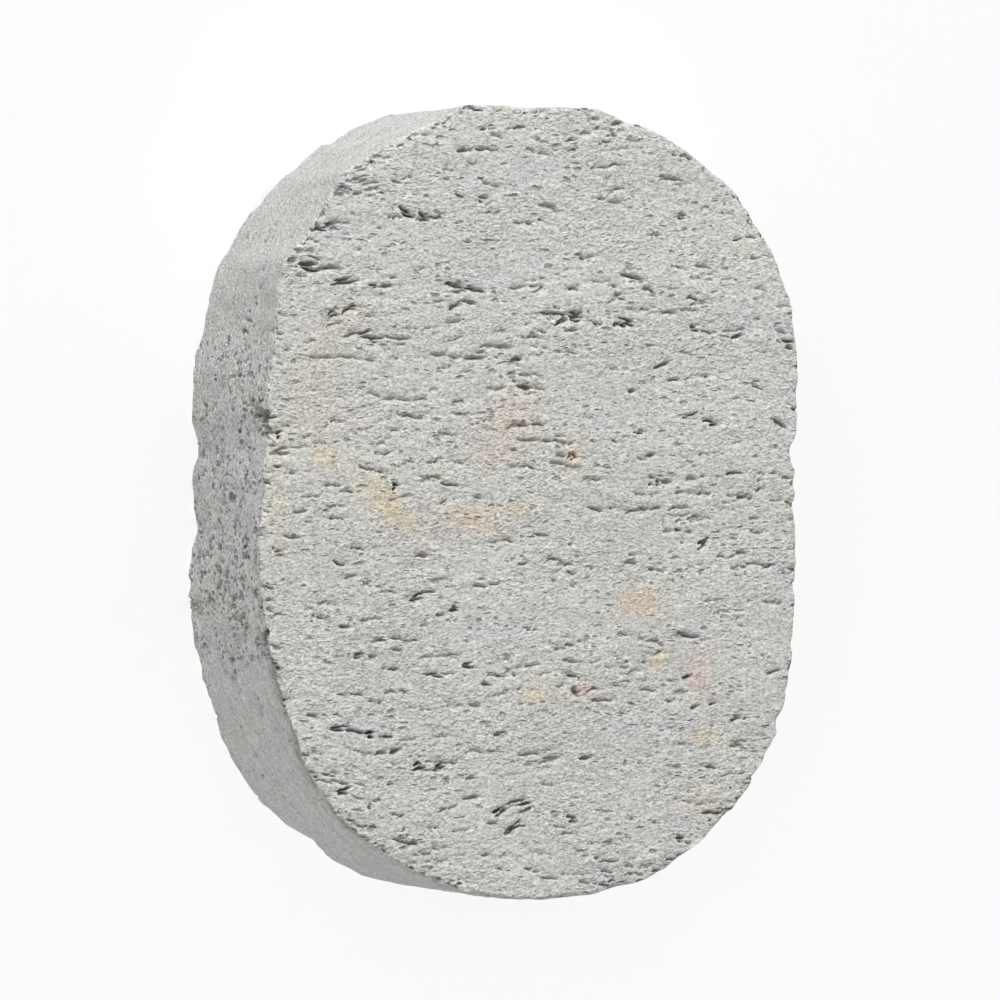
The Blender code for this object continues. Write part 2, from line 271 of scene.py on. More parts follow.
    Pit(-4.6, -27.8, 1.8, 0.5, 0.8, 10, 0.2),
    Pit(-0.6, -30.3, 3.2, 0.4, 0.6, 2, 0.2),
    Pit(2.2, -30.7, 2.2, 0.4, 0.6, -5, 0.2),
    Pit(6.6, -30.8, 1.7, 0.5, 0.8, 10, 0.2),
    Pit(21.3, -24.9, 1.2, 0.5, 0.8, 10, 0.3),
    Pit(23.7, -24.6, 1.5, 0.6, 0.8, 15, 0.3),
    Pit(26.6, -26.4, 1.9, 0.6, 0.8, 25, 0.2),
    Pit(10.0, -43.2, 3.2, 0.4, 0.6, 2, 0.2),
    Pit(2.2, -45.3, 2.2, 0.4, 0.6, 2, 0.2),
)
RIM_CLUSTERS = (
    Cluster(10.8, 18.6, 0.8, 5, 0.7),
    Cluster(10.3, 20.6, 0.9, 8, 1.0),
    Cluster(9.8, 22.6, 0.9, 8, 1.2),
    Cluster(7.8, 23.4, 0.8, 8, 1.1),
    Cluster(20.5, 14.5, 2.8, 18, 0.5),
    Cluster(19.0, 9.5, 0.5, 2, 0.5),
    Cluster(15.0, 14.0, 1.2, 6, 0.5),
    Cluster(11.0, 4.0, 1.5, 9, 0.5),
    Cluster(11.5, 13.0, 0.8, 3, 0.5),
    Cluster(5.5, 8.5, 2.4, 14, 0.6),
    Cluster(5.0, 18.0, 2.0, 7, 0.5),
    Cluster(3.0, 4.0, 0.8, 3, 0.5),
    Cluster(1.5, 11.0, 1.2, 5, 0.6),
    Cluster(2.0, 18.0, 0.8, 3, 0.5),
    Cluster(-0.5, 11.0, 1.3, 7, 0.6),
    Cluster(-0.5, 17.0, 1.6, 6, 0.5),
    Cluster(-3.0, 15.5, 1.2, 5, 0.6),
    Cluster(-4.0, 22.0, 1.0, 4, 0.6),
    Cluster(-5.5, 10.0, 1.6, 9, 0.6),
    Cluster(-9.5, 10.0, 1.8, 12, 0.7),
    Cluster(-8.5, 12.5, 0.3, 2, 0.9),
    Cluster(-8.0, 4.0, 2.0, 12, 0.5),
    Cluster(-6.5, 19.0, 1.5, 6, 0.6),
    Cluster(-12.5, 7.0, 1.3, 6, 0.5),
    Cluster(-12.5, 14.0, 2.2, 14, 0.6),
    Cluster(-14.5, 16.0, 2.0, 12, 0.6),
    Cluster(-12.0, 21.5, 1.4, 6, 0.7),
    Cluster(-15.0, 18.0, 1.3, 7, 0.6),
    Cluster(-16.0, 21.5, 1.3, 8, 0.7),
    Cluster(-18.0, 21.5, 1.5, 10, 0.7),
    Cluster(-19.0, 11.0, 1.8, 9, 0.5),
    Cluster(-21.5, 10.0, 1.5, 7, 0.5),
    Cluster(-19.0, 17.5, 0.5, 2, 0.5),
    Cluster(-23.5, 23.0, 1.4, 9, 0.6),
    Cluster(-26.0, 22.5, 1.4, 9, 0.5),
    Cluster(-28.5, 22.5, 1.4, 9, 0.5),
    Cluster(-31.0, 22.5, 1.4, 9, 0.5),
    Cluster(-33.5, 22.5, 1.4, 7, 0.5),
    Cluster(-36.0, 22.5, 1.4, 7, 0.5),
    Cluster(-39.0, 22.5, 1.4, 7, 0.5),
    Cluster(-42.0, 22.8, 1.4, 7, 0.5),
    Cluster(-25.5, 15.5, 0.5, 2, 0.5),
    Cluster(-33.5, 7.0, 0.5, 2, 0.5),
)
CHIPS = (
    Chip(35.6, 6.3, 23.0, (1.3, 1.5, 3.0)),
    Chip(34.6, -23.4, 23.5, (1.2, 1.2, 2.0)),
    Chip(-35.6, 6.6, 2.0, (1.4, 1.4, 6.0)),
    Chip(-35.6, -3.1, 2.0, (1.2, 1.2, 5.0)),
    Chip(-36.3, -13.3, 1.0, (1.6, 1.6, 6.0)),
    Chip(-35.6, -12.3, 0.0, (0.9, 0.4, 7.0)),
    Chip(-24.5, -42.5, 1.0, (1.6, 1.0, 4.0)),
    Chip(-34.9, -7.1, 22.4, (0.6, 0.9, 0.5)),
    Chip(-34.7, -12.0, 23.3, (0.7, 0.7, 0.6), -30),
    Chip(-33.9, -12.9, 24.0, (0.6, 0.25, 0.4), -35),
    Chip(-34.0, -15.6, 23.4, (0.6, 0.7, 0.6)),
    Chip(-33.1, -17.3, 24.0, (0.7, 0.25, 0.4), -25),
    Chip(-33.6, -18.3, 23.2, (0.8, 0.5, 0.6), -20),
    Chip(-33.1, -19.4, 23.5, (0.7, 0.5, 0.7), -30),
    Chip(-32.7, -21.0, 23.4, (0.6, 0.5, 0.5)),
)
STAINS = (
    Stain(-27.2, 4.7, 1.3, 1.1, 0, 0.8, 0.1),
    Stain(-18.9, -0.6, 4.8, 1.8, -42, 1.0, 0.1),
    Stain(-8.5, -2.2, 3.9, 1.6, -10, 1.0, 0.4),
    Stain(-3.5, 9.3, 3.4, 2.8, 20, 0.8, 0.5),
    Stain(-6.2, 5.3, 2.6, 1.4, 0, 0.8, 0.6),
    Stain(4.8, 5.0, 1.2, 2.0, 0, 0.8, 0.3),
    Stain(-2.4, -1.0, 1.8, 1.0, 0, 0.7, 0.0),
    Stain(14.0, -12.3, 3.0, 1.8, 0, 1.2, 0.4),
    Stain(16.4, -19.0, 1.0, 1.1, 0, 1.1, 0.2),
    Stain(21.6, -21.0, 1.5, 2.6, 0, 1.2, 0.8),
    Stain(22.4, -28.4, 1.0, 1.0, 0, 1.1, 0.3),
    Stain(0.2, -23.0, 2.0, 1.0, 0, 0.7, 0.0),
    Stain(6.2, -22.8, 2.2, 1.2, 0, 0.9, 0.8),
    Stain(22.5, -36.5, 2.4, 1.4, 0, 0.6, 0.8),
    Stain(-24.8, 20.6, 2.6, 1.0, 15, 0.6, 0.7),
    Stain(-33.0, 0.0, 1.2, 6.0, 0, 0.4, 0.1),
    Stain(-28.0, 12.0, 4.0, 8.0, 0, 0.25, 0.0),
)

COARSE_CELL = 2.4  # millimetres, before the block is divided finely
FINE_LEVELS = 4
TRIANGLE_LIMIT = 198000
UNDERSIDE_TRIANGLES = 36000
WARP_SEED, LUMP_SEED, BUBBLE_SEED = 3, 5, 7
ON_SURFACE = 0.9999  # how far out a point of the block lies, at least, on its sides and faces

# The relief, in millimetres.
LEAST_WEAR = 0.1  # radius of the sharpest edge
SKIN = 0.14  # how far the rough surface lies inside the tablet, so that its lumps don't stand out
RUBBED_AWAY = 0.05  # how much further in the rubbed rim lies
GROOVE_DEPTH = 0.7
GROOVE_DOWN = 1.1  # from the upper edge to the groove's middle, and from there to where it fades
GROOVE_START = -9  # its upper end, along Y
GROOVE_OPENING = 7  # from its upper end to where it is fully open
DEEPEST = 1.5  # how far in a bubble may be carved
MOST_BENT = 0.5  # room for the unevenness of a bubble's walls
STRAND_WIDTH = 0.42
THINNEST_STRAND = 0.2  # half of its width
STRAND_SPACING = 2.3  # a number of half widths
LISTED_DEPTH = 0.8  # share of its own depth that a listed bubble is carved to


# Shape


def stance_at(angles, stance):
    """How far the outline stands out at each angle, in millimetres, eased between the listed ones."""
    listed = sorted(stance)
    listed = [(listed[-1][0] - 360, listed[-1][1]), *listed, (listed[0][0] + 360, listed[0][1])]
    at, out = np.array(listed).T
    degrees = np.degrees(angles) % 360
    after = np.searchsorted(at, degrees, side="right")
    share = (degrees - at[after - 1]) / (at[after] - at[after - 1])
    share = share * share * (3 - 2 * share)
    return out[after - 1] * (1 - share) + out[after] * share


def reach_at(angles, stance):
    """How far the outline lies from the middle at each angle, in millimetres.

    A quarter of the plain oval is drawn as points, and the others are its mirror images.
    """
    power = 2 / END_SQUARENESS
    straight = np.linspace(0, STRAIGHT_SIDE / 2, 100)[:-1]
    turn = np.linspace(0, math.pi / 2, 400)
    x = np.r_[np.full(len(straight), WIDTH / 2), WIDTH / 2 * np.cos(turn) ** power]
    y = np.r_[straight, STRAIGHT_SIDE / 2 + (LENGTH - STRAIGHT_SIDE) / 2 * np.sin(turn) ** power]
    folded = np.arctan2(np.abs(np.sin(angles)), np.abs(np.cos(angles)))
    return np.interp(folded, np.arctan2(y, x), np.hypot(x, y)) + stance_at(angles, stance)


class Lumps:
    """Smooth lumps from -1 to 1: chance heights on a lattice, blended between its corners.

    A number added to the points moves them to another part of the lattice, for other lumps.
    """

    SIZE = 64

    def __init__(self, seed):
        chance = np.random.default_rng(seed)
        self.heights = chance.uniform(-1, 1, (self.SIZE,) * 3).astype(np.float32)

    def at(self, points, *lump_size):
        """The height at each point, for lumps of this size along X, Y and Z."""
        cell = points / np.array(lump_size, np.float32)
        low = np.floor(cell).astype(int)
        share = cell - low
        share = share * share * (3 - 2 * share)
        total = np.zeros(len(points), np.float32)
        for corner in itertools.product((0, 1), repeat=3):
            weight = np.prod(np.where(corner, share, 1 - share), axis=1)
            x, y, z = ((low + corner) % self.SIZE).T
            total += weight * self.heights[x, y, z]
        return total


def divided_block():
    """A cube from -1 to 1, divided into nearly square cells of the tablet's own proportions."""
    bm = bmesh.new()
    bmesh.ops.create_cube(bm, size=2)
    for axis, side in enumerate((WIDTH, LENGTH, THICKNESS)):
        along = [e for e in bm.edges if abs(e.verts[0].co[axis] - e.verts[1].co[axis]) > 1e-3]
        cuts = round(side / COARSE_CELL) - 1
        bmesh.ops.subdivide_edges(bm, edges=along, cuts=cuts, use_grid_fill=True)
    mesh = bpy.data.meshes.new(CAD_NODE)
    bm.to_mesh(mesh)
    bm.free()
    return mesh


def with_modifier(obj, kind, **values):
    """Replaces the object's mesh by what one modifier makes of it."""
    modifier = obj.modifiers.new(kind.lower(), kind)
    for name, value in values.items():
        setattr(modifier, name, value)
    graph = bpy.context.evaluated_depsgraph_get()
    made = bpy.data.meshes.new_from_object(obj.evaluated_get(graph), depsgraph=graph)
    obj.modifiers.clear()
    old, obj.data = obj.data, made
    bpy.data.meshes.remove(old)


def points_of(mesh):
    """The places of the mesh's points, as rows of X, Y and Z."""
    flat = np.empty(len(mesh.vertices) * 3, np.float32)
    mesh.vertices.foreach_get("co", flat)
    return flat.reshape(-1, 3).astype(float)


def set_points(mesh, points):
    """Moves the mesh's points to these places."""
    mesh.vertices.foreach_set("co", points.astype(np.float32).ravel())
    mesh.update()


def set_values(mesh, name, values):
    """Gives each point of the mesh a value that its material can read by name."""
    layer = mesh.attributes.get(name) or mesh.attributes.new(name, "FLOAT", "POINT")
    layer.data.foreach_set("value", values.astype(np.float32))


def tablet_points(block, edge_wear, lumps):
    """Where each point of the block goes on the tablet, and the outward direction there."""
    u, v, w = block.T
    across, along = u * np.sqrt(1 - v * v / 2), v * np.sqrt(1 - u * u / 2)
    share = np.minimum(np.hypot(across, along), 1)
    angle = np.arctan2(along * LENGTH, across * WIDTH)
    up = (w + 1) / 2
    reach = (1 - up) * reach_at(angle, UNDERSIDE_STANCE) + up * reach_at(angle, TOP_STANCE)
    height = up * THICKNESS

    # An edge is rounded by drawing the points near it on to a quarter circle. The two edges wear
    # differently, because their places are set apart before the lumps are read.
    apart = np.where(up > 0.5, 90, 0)
    round_rim = np.stack([reach * np.cos(angle), reach * np.sin(angle), apart], axis=1)
    uneven = 1.2 + 0.4 * lumps.at(round_rim, 5, 5, 5)
    uneven += 1.5 * lumps.at(round_rim + 9, 1.4, 1.4, 1.4)
    wear = np.maximum(edge_wear * uneven, LEAST_WEAR)
    inward, below = reach * (1 - share), np.minimum(height, THICKNESS - height)
    from_side, from_face = np.maximum(wear - inward, 0), np.maximum(wear - below, 0)
    away = np.maximum(np.hypot(from_side, from_face), 1e-9)
    near = (from_side > 0) & (from_face > 0)
    inward = np.where(near, wear - from_side * wear / away, inward)
    below = np.where(near, wear - from_face * wear / away, below)
    radius = reach - inward
    upper = height > THICKNESS / 2
    z = np.where(upper, THICKNESS - below, below)
    points = np.stack([radius * np.cos(angle), radius * np.sin(angle), z], axis=1)

    # The rim faces square to its outline, and a worn edge turns from there to the face.
    step = 0.01
    slope = (reach_at(angle + step, TOP_STANCE) - reach_at(angle - step, TOP_STANCE)) / (2 * step)
    turned = angle - np.arctan(slope / reach)
    flat = np.where(near, from_side / away, share > ON_SURFACE)
    rise = np.where(near, from_face / away, np.abs(w) > ON_SURFACE) * np.where(upper, 1, -1)
    facing = np.stack([flat * np.cos(turned), flat * np.sin(turned), rise], axis=1)
    return points, facing / np.maximum(np.linalg.norm(facing, axis=1), 1e-9)[:, None]


class Rows:
    """The stone's points in rows along X, so that those near a bubble are found at once."""

    CELL = 1.0

    def __init__(self, points):
        row = np.floor(points[:, 1:] / self.CELL).astype(int)
        self.low = row.min(axis=0)
        self.across = row[:, 1].max() - self.low[1] + 1
        key = (row[:, 0] - self.low[0]) * self.across + row[:, 1] - self.low[1]
        self.order = np.lexsort((points[:, 0], key))
        self.x = points[self.order, 0]
        self.starts = np.searchsorted(key[self.order], np.arange(key.max() + 2))

    def near(self, middle, reach):
        """The indices of the points within a box round the middle."""
        found = []
        low = np.floor((middle[1:] - reach[1:]) / self.CELL).astype(int) - self.low
        high = np.floor((middle[1:] + reach[1:]) / self.CELL).astype(int) - self.low
        for y in range(max(low[0], 0), high[0] + 1):
            for z in range(max(low[1], 0), min(high[1], self.across - 1) + 1):
                key = y * self.across + z
                if key + 1 >= len(self.starts):
                    continue
                first, last = self.starts[key], self.starts[key + 1]
                row = self.x[first:last]
                first, last = first + np.searchsorted(row, (middle[0] - reach[0], middle[0] + reach[0]))
                found.append(self.order[first:last])
        return np.concatenate(found) if found else np.empty(0, int)


class Bubble(NamedTuple):
    """A drawn-out bubble inside the rock, in millimetres."""

    middle: np.ndarray
    half_axes: np.ndarray
    lean: float
    rust: float = 0.2
    arch: float = 0.0


def listed_bubbles(chance):
    """The bubbles that stand out on the upper face. A wide one is several strands side by side."""
    for pit in TOP_PITS:
        strands = max(round(pit.width / STRAND_WIDTH), 1)
        half_width = pit.width / strands / 2
        lean = math.radians(pit.lean)
        for strand in range(strands):
            off = (strand - (strands - 1) / 2) * STRAND_SPACING * half_width
            along = chance.normal(0, 0.12) * pit.length * (strands > 1)
            turned = lean + chance.normal(0, 0.12) * (strands > 1)
            shorter = chance.uniform(0.65, 1) if strands > 1 else 1
            x = pit.x + (along * math.cos(lean) - off * math.sin(lean))
            y = pit.y + (along * math.sin(lean) + off * math.cos(lean))
            half_length = pit.length / 2 * shorter
            thick = max(half_width, THINNEST_STRAND)
            half_axes = np.array([half_length, thick, pit.depth * LISTED_DEPTH])
            yield Bubble(np.array([x, y, THICKNESS]), half_axes, turned, pit.rust, pit.arch)


def clustered_bubbles(chance, points, facing):
    """Crowds of pores in the left side of the rim."""
    left = np.flatnonzero((facing[:, 0] < -0.1) & (np.abs(facing[:, 2]) < 0.3))
    for cluster in RIM_CLUSTERS:
        away = np.hypot(points[left, 1] - cluster.y, points[left, 2] - cluster.z)
        middle = points[left[np.argmin(away)]]
        for _ in range(cluster.pores):
            shift = chance.normal(0, cluster.spread / 2, 3) * (0, 1.3, 0.9)
            half_width = cluster.width / 2 * chance.uniform(0.5, 1.2)
            half_length = chance.uniform(0.4, 0.9)
            half_height = half_width * chance.uniform(1.2, 2.4)
            lean = chance.normal(0, 0.2)
            rust = chance.uniform(0, 0.5)
            yield Bubble(middle + shift, np.array([half_length, half_width, half_height]), lean, rust)


def edge_bubbles(chance, points, facing, lumps, count):
    """Bubbles that break the edges between the faces and the rim, most of them along the left."""
    edge = np.flatnonzero(np.abs(np.abs(facing[:, 2]) - 0.7) < 0.2)
    chosen = chance.choice(edge, count)
    crumbling = 0.5 + 0.6 * lumps.at(points[chosen], 8, 8, 8) - 0.25 * facing[chosen, 0]
    for index in chosen[chance.random(count) < crumbling]:
        half_length = 0.35 * chance.lognormal(0, 0.5)
        half_width = chance.uniform(0.12, 0.3)
        half_height = chance.uniform(0.15, 0.45)
        inside = points[index] - facing[index] * chance.uniform(-0.1, 0.2)
        middle = inside + chance.normal(0, 0.35, 3)
        lean = chance.normal(0, 0.25)
        rust = chance.uniform(0, 0.6)
        arch = chance.normal(0, 0.2)
        yield Bubble(middle, np.array([half_length, half_width, half_height]), lean, rust, arch)


def chipped_edges():
    """The chips broken out of the rim's two edges."""
    for chip in CHIPS:
        middle = np.array([chip.x, chip.y, chip.z])
        yield Bubble(middle, np.array(chip.half_axes), math.radians(chip.lean), 0.1)


def chance_bubbles(chance, points, facing, crowding, count):
    """Bubbles scattered over the whole surface, in short strings along X."""
    tried = chance.permutation(len(points))[: count * 6]
    likely = crowding.at(points[tried], 14, 6, 6) * 0.5 + 0.5
    likely = likely * (0.08 + 0.92 * np.maximum(np.abs(facing[tried, 2]), facing[tried, 0] ** 4))
    chosen = tried[chance.random(len(tried)) < likely * 0.6][:count]
    for index in chosen:
        half_length = min(0.38 * chance.lognormal(0, 0.5), 1.6)
        half_width = chance.uniform(0.12, 0.2) * (1 + 0.3 * half_length)
        lean = chance.normal(0, 0.14)
        middle = points[index] - facing[index] * chance.uniform(-0.1, 0.1)
        rust = chance.uniform(0, 0.5)
        for link in range(chance.integers(1, 4)):
            step = link * half_length * chance.uniform(1.4, 2.2)
            place = middle + np.array([step * math.cos(lean), step * math.sin(lean), 0])
            half_height = half_width * chance.uniform(1.2, 2.4)
            half_axes = np.array([half_length, half_width, half_height]) * chance.uniform(0.7, 1.2)
            turned = lean + chance.normal(0, 0.12)
            arch = chance.normal(0.08, 0.12)
            yield Bubble(place, half_axes, turned, rust, arch)


def carve(points, facing, bubbles, warp):
    """How far each point is carved inwards by the bubbles that it lies in, and the rust there.

    A point goes straight in until it meets the bubble's wall. The places are bent a little first,
    which makes the walls uneven.
    """
    rows = Rows(points)
    bent = points.copy()
    bent[:, 1] += 0.15 * warp.at(points, 1.3, 0.8, 0.8) + 0.1 * warp.at(points + 20, 0.5, 0.4, 0.4)
    bent[:, 0] += 0.4 * warp.at(points + 40, 1.0, 0.35, 0.35)
    depth, rust = np.zeros(len(points)), np.zeros(len(points))
    for bubble in bubbles:
        near = rows.near(bubble.middle, np.full(3, bubble.half_axes.max() + MOST_BENT))
        if not len(near):
            continue
        cos, sin = math.cos(bubble.lean), math.sin(bubble.lean)
        turn = np.array([[cos, -sin, 0], [sin, cos, 0], [0, 0, 1]])
        local = (bent[near] - bubble.middle) @ turn / bubble.half_axes
        local[:, 1] += bubble.arch / bubble.half_axes[1] * (local[:, 0] ** 2 - 0.3)
        inward = -(facing[near] @ turn) / bubble.half_axes
        a, b = (inward**2).sum(axis=1), (local * inward).sum(axis=1)
        c = (local**2).sum(axis=1) - 1
        way = (np.sqrt(np.maximum(b * b - a * c, 0)) - b) / a  # a quadratic equation's far root
        way = np.where(c < 0, np.minimum(way, DEEPEST), 0)
        deeper = way > depth[near]
        depth[near[deeper]] = way[deeper]
        rust[near[deeper]] = bubble.rust
    return depth, rust


def triangle_count(mesh, chosen=None):
    """How many triangles the mesh has, or how many have all their corners among the chosen points."""
    mesh.calc_loop_triangles()
    corners = np.empty(len(mesh.loop_triangles) * 3, int)
    mesh.loop_triangles.foreach_get("vertices", corners)
    if chosen is None:
        return len(corners) // 3
    return chosen[corners].reshape(-1, 3).all(axis=1).sum()


def thin_out(stone, limit, chosen=None):
    """Collapses the flattest edges until the stone, or its chosen part, has this many triangles."""
    whole = triangle_count(stone.data)
    surplus = triangle_count(stone.data, chosen) - limit
    if surplus <= 0:
        return
    name = ""
    if chosen is not None:
        name = stone.vertex_groups.new(name="chosen").name
        stone.vertex_groups[name].add(np.flatnonzero(chosen).tolist(), 1.0, "REPLACE")
    with_modifier(stone, "DECIMATE", ratio=1 - surplus / whole, vertex_group=name)
    stone.vertex_groups.clear()


def groove_values(points, facing, lumps):
    """How far the torn groove under the upper edge, at the lower left, has opened at each point."""
    below = THICKNESS - points[:, 2] + 0.9 * lumps.at(points + 30, 1.6, 1.6, 1.0)
    band = np.exp(-(((below - GROOVE_DOWN) / GROOVE_DOWN) ** 2)) * (1 - np.abs(facing[:, 2]))
    down = np.clip((GROOVE_START - points[:, 1]) / GROOVE_OPENING, 0, 1) * (facing[:, 0] < -0.1)
    return band * down * np.clip(0.8 + 0.9 * lumps.at(points + 50, 2.5, 2.5, 2.5), 0, 1)


def stain_values(points):
    """How strongly iron colours each point of the upper face, for its ochre and its rose."""
    ochre, rose = np.zeros(len(points)), np.zeros(len(points))
    upper = points[:, 2] > THICKNESS - 4
    for stain in STAINS:
        lean = math.radians(stain.lean)
        x, y = points[upper, 0] - stain.x, points[upper, 1] - stain.y
        along = (x * math.cos(lean) + y * math.sin(lean)) / stain.length
        across = (y * math.cos(lean) - x * math.sin(lean)) / stain.width
        strength = stain.strength * np.exp(-(along**2) - across**2)
        ochre[upper] += strength * (1 - stain.hue)
        rose[upper] += strength * stain.hue
    return ochre, rose


def roughness_of(points, facing, lumps):
    """How far the torn surface lies below the smooth tablet, in millimetres."""
    rubbed = 1 - np.abs(facing[:, 2])
    torn = 0.05 * lumps.at(points, 9, 5, 5) + 0.07 * lumps.at(points + 9, 2.4, 1.1, 1.1)
    torn += 0.04 * lumps.at(points + 5, 1.2, 0.6, 0.6)
    worn = 0.12 * lumps.at(points + 3, 7, 7, 7) + 0.09 * lumps.at(points + 7, 2.5, 2.5, 2.5)
    worn += 0.07 * lumps.at(points + 5, 1.1, 1.1, 0.7)
    return SKIN + (1 - rubbed) * torn + rubbed * (RUBBED_AWAY + worn)


def shape_stone(settings):
    """The carved stone as one closed mesh."""
    stone = bpy.data.objects.new(STONE, divided_block())
    bpy.context.scene.collection.objects.link(stone)
    levels = FINE_LEVELS - 0
    with_modifier(stone, "SUBSURF", subdivision_type="SIMPLE", levels=levels, render_levels=levels)

    chance = np.random.default_rng(BUBBLE_SEED)
    lumps, warp = Lumps(LUMP_SEED), Lumps(WARP_SEED)
    points, facing = tablet_points(points_of(stone.data), settings.edge_wear / MM, lumps)
    bubbles = [
        *chance_bubbles(chance, points, facing, lumps, settings.bubbles),
        *clustered_bubbles(chance, points, facing),
        *edge_bubbles(chance, points, facing, lumps, settings.edge_bubbles),
        *listed_bubbles(chance),
        *chipped_edges(),
    ]
    depth, rust = carve(points, facing, bubbles, warp)
    # The groove is carved, and its depth darkens it as painted shade, as a bubble's does.
    depth = np.maximum(depth, GROOVE_DEPTH * groove_values(points, facing, lumps))
    ochre, rose = stain_values(points)
    # The carved depth is kept for the material, which paints shade in the hollows from it.
    values = {"hollow": depth, "rust": rust, "ochre": ochre, "rose": rose}
    values.update({"outward_x": facing[:, 0], "outward_z": facing[:, 2]})
    for name, value in values.items():
        set_values(stone.data, name, value)

    points -= facing * (depth + roughness_of(points, facing, lumps))[:, None]
    points[:, 2] = np.maximum(points[:, 2], 0)  # nothing reaches below the floor
    set_points(stone.data, points * MM)
    underside = facing[:, 2] < -0.9
    thin_out(stone, UNDERSIDE_TRIANGLES, underside)
    thin_out(stone, TRIANGLE_LIMIT)
    stone.data.name = stone.name
    stone.data.shade_smooth()
    return stone


# Finish


class Graph:
    """Adds shader nodes, and links or sets their inputs. Its places and sizes are in millimetres."""

    def __init__(self, material):
        material.use_nodes = True
        self.tree = material.node_tree
        self.shader = self.tree.nodes["Principled BSDF"]

    def add(self, kind, inputs=(), **values):
        """A new node with these settings and inputs."""
        node = self.tree.nodes.new(kind)
        for name, value in values.items():
            setattr(node, name, value)
        for key, value in dict(inputs).items():
            self.put(node.inputs[key], value)
        return node

    def put(self, socket, value):
        """Links a socket to the input, or sets it to a plain value."""
        if isinstance(value, bpy.types.NodeSocket):
            self.tree.links.new(value, socket)
        else:
            socket.default_value = value

    def attribute(self, name):
        return self.add("ShaderNodeAttribute", attribute_name=name).outputs["Fac"]

    def place(self):
        """The place on the stone, in millimetres."""
        whole = self.add("ShaderNodeTexCoord").outputs["Object"]
        return self.stretched(whole, (MM, MM, MM))

    def stretched(self, place, size):
        """The place in steps of this size along X, Y and Z."""
        inputs = {"Vector": place, "Scale": [1 / s for s in size]}
        return self.add("ShaderNodeMapping", inputs, vector_type="POINT").outputs["Vector"]

    def part(self, vector, axis):
        return self.add("ShaderNodeSeparateXYZ", {0: vector}).outputs[axis]

    def math(self, operation, *inputs, clamp=False):
        node = self.add("ShaderNodeMath", enumerate(inputs), operation=operation, use_clamp=clamp)
        return node.outputs["Value"]

    def rest_of(self, share):
        """One less this share."""
        return self.math("SUBTRACT", 1.0, share)

    def sum(self, *terms):
        total = terms[0]
        for term in terms[1:]:
            total = self.math("ADD", total, term)
        return total

    def product(self, *factors, clamp=False):
        total = factors[0]
        for factor in factors[1:]:
            total = self.math("MULTIPLY", total, factor, clamp=clamp)
        return total

    def vector(self, operation, first, second):
        node = self.add("ShaderNodeVectorMath", operation=operation)
        self.put(node.inputs[0], first)
        self.put(node.inputs["Scale" if operation == "SCALE" else 1], second)
        return node.outputs["Vector"]

    def ramp(self, value, low, high, to_low=0.0, to_high=1.0):
        """The value's place between low and high, eased, as a number between the other two."""
        inputs = {"Value": value, "From Min": low, "From Max": high, "To Min": to_low, "To Max": to_high}
        node = self.add("ShaderNodeMapRange", inputs, interpolation_type="SMOOTHSTEP")
        return node.outputs["Result"]

    def blend(self, factor, first, second, mode="MIX"):
        node = self.add("ShaderNodeMix", data_type="RGBA", blend_type=mode)
        for key, value in (("Factor_Float", factor), ("A_Color", first), ("B_Color", second)):
            self.put(next(s for s in node.inputs if s.identifier == key), value)
        return next(s for s in node.outputs if s.identifier == "Result_Color")

    def noise(self, place, size, detail=2.0, rough=0.5, output="Fac"):
        """Noise from 0 to 1 whose largest patches are about this size."""
        inputs = {"Vector": self.stretched(place, size), "Scale": 1.0, "Detail": detail, "Roughness": rough}
        return self.add("ShaderNodeTexNoise", inputs).outputs[output]

    def lumps(self, place, size, height, detail=2.0, rough=0.5):
        """Noise about nought, of this height."""
        return self.product(self.math("SUBTRACT", self.noise(place, size, detail, rough), 0.5), 2 * height)

    def swayed(self, place, size, way):
        """The place, moved about by up to this way, in patches of this size."""
        moved = self.vector("SUBTRACT", self.noise(place, size, 1.0, output="Color"), (0.5, 0.5, 0.5))
        return self.vector("ADD", place, self.vector("SCALE", moved, 2 * way))

    def length(self, vector):
        return self.add("ShaderNodeVectorMath", {0: vector}, operation="LENGTH").outputs["Value"]

    def bubbles(self, place, spacing, half_axes, crowd, ragged):
        """The bowls of drawn-out bubbles, the painted shadow under their upper lips and the rings round
        them.

        There is one bubble at most in each space, and a negative crowd leaves more of them empty.
        """
        step = self.stretched(place, spacing)
        cells = self.add("ShaderNodeTexVoronoi", {"Vector": step, "Scale": 1.0})
        draw = self.add("ShaderNodeSeparateColor", {"Color": cells.outputs["Color"]}).outputs["Red"]
        size = self.math("MAXIMUM", self.sum(draw, crowd), 0.02)
        away = self.vector("SUBTRACT", step, cells.outputs["Position"])
        away = self.vector("MULTIPLY", away, [s / a for s, a in zip(spacing, half_axes)])
        away = self.vector("SCALE", away, self.math("DIVIDE", 1.0, size))
        edge = self.sum(self.length(away), ragged)
        # Painted shadow: a dark core moved towards +Y, under the upper lip, where the light from beyond the
        # top end doesn't reach.
        under_lip = self.sum(self.length(self.vector("SUBTRACT", away, (0.0, 0.3, 0.0))), ragged)
        bowl, dark = self.ramp(edge, 1.1, 0.2), self.ramp(under_lip, 1.0, 0.4)
        ring = self.math("SUBTRACT", self.ramp(edge, 2.0, 1.2), bowl, clamp=True)
        return self.product(bowl, size), dark, ring


def colour(values):
    return (*values, 1.0)


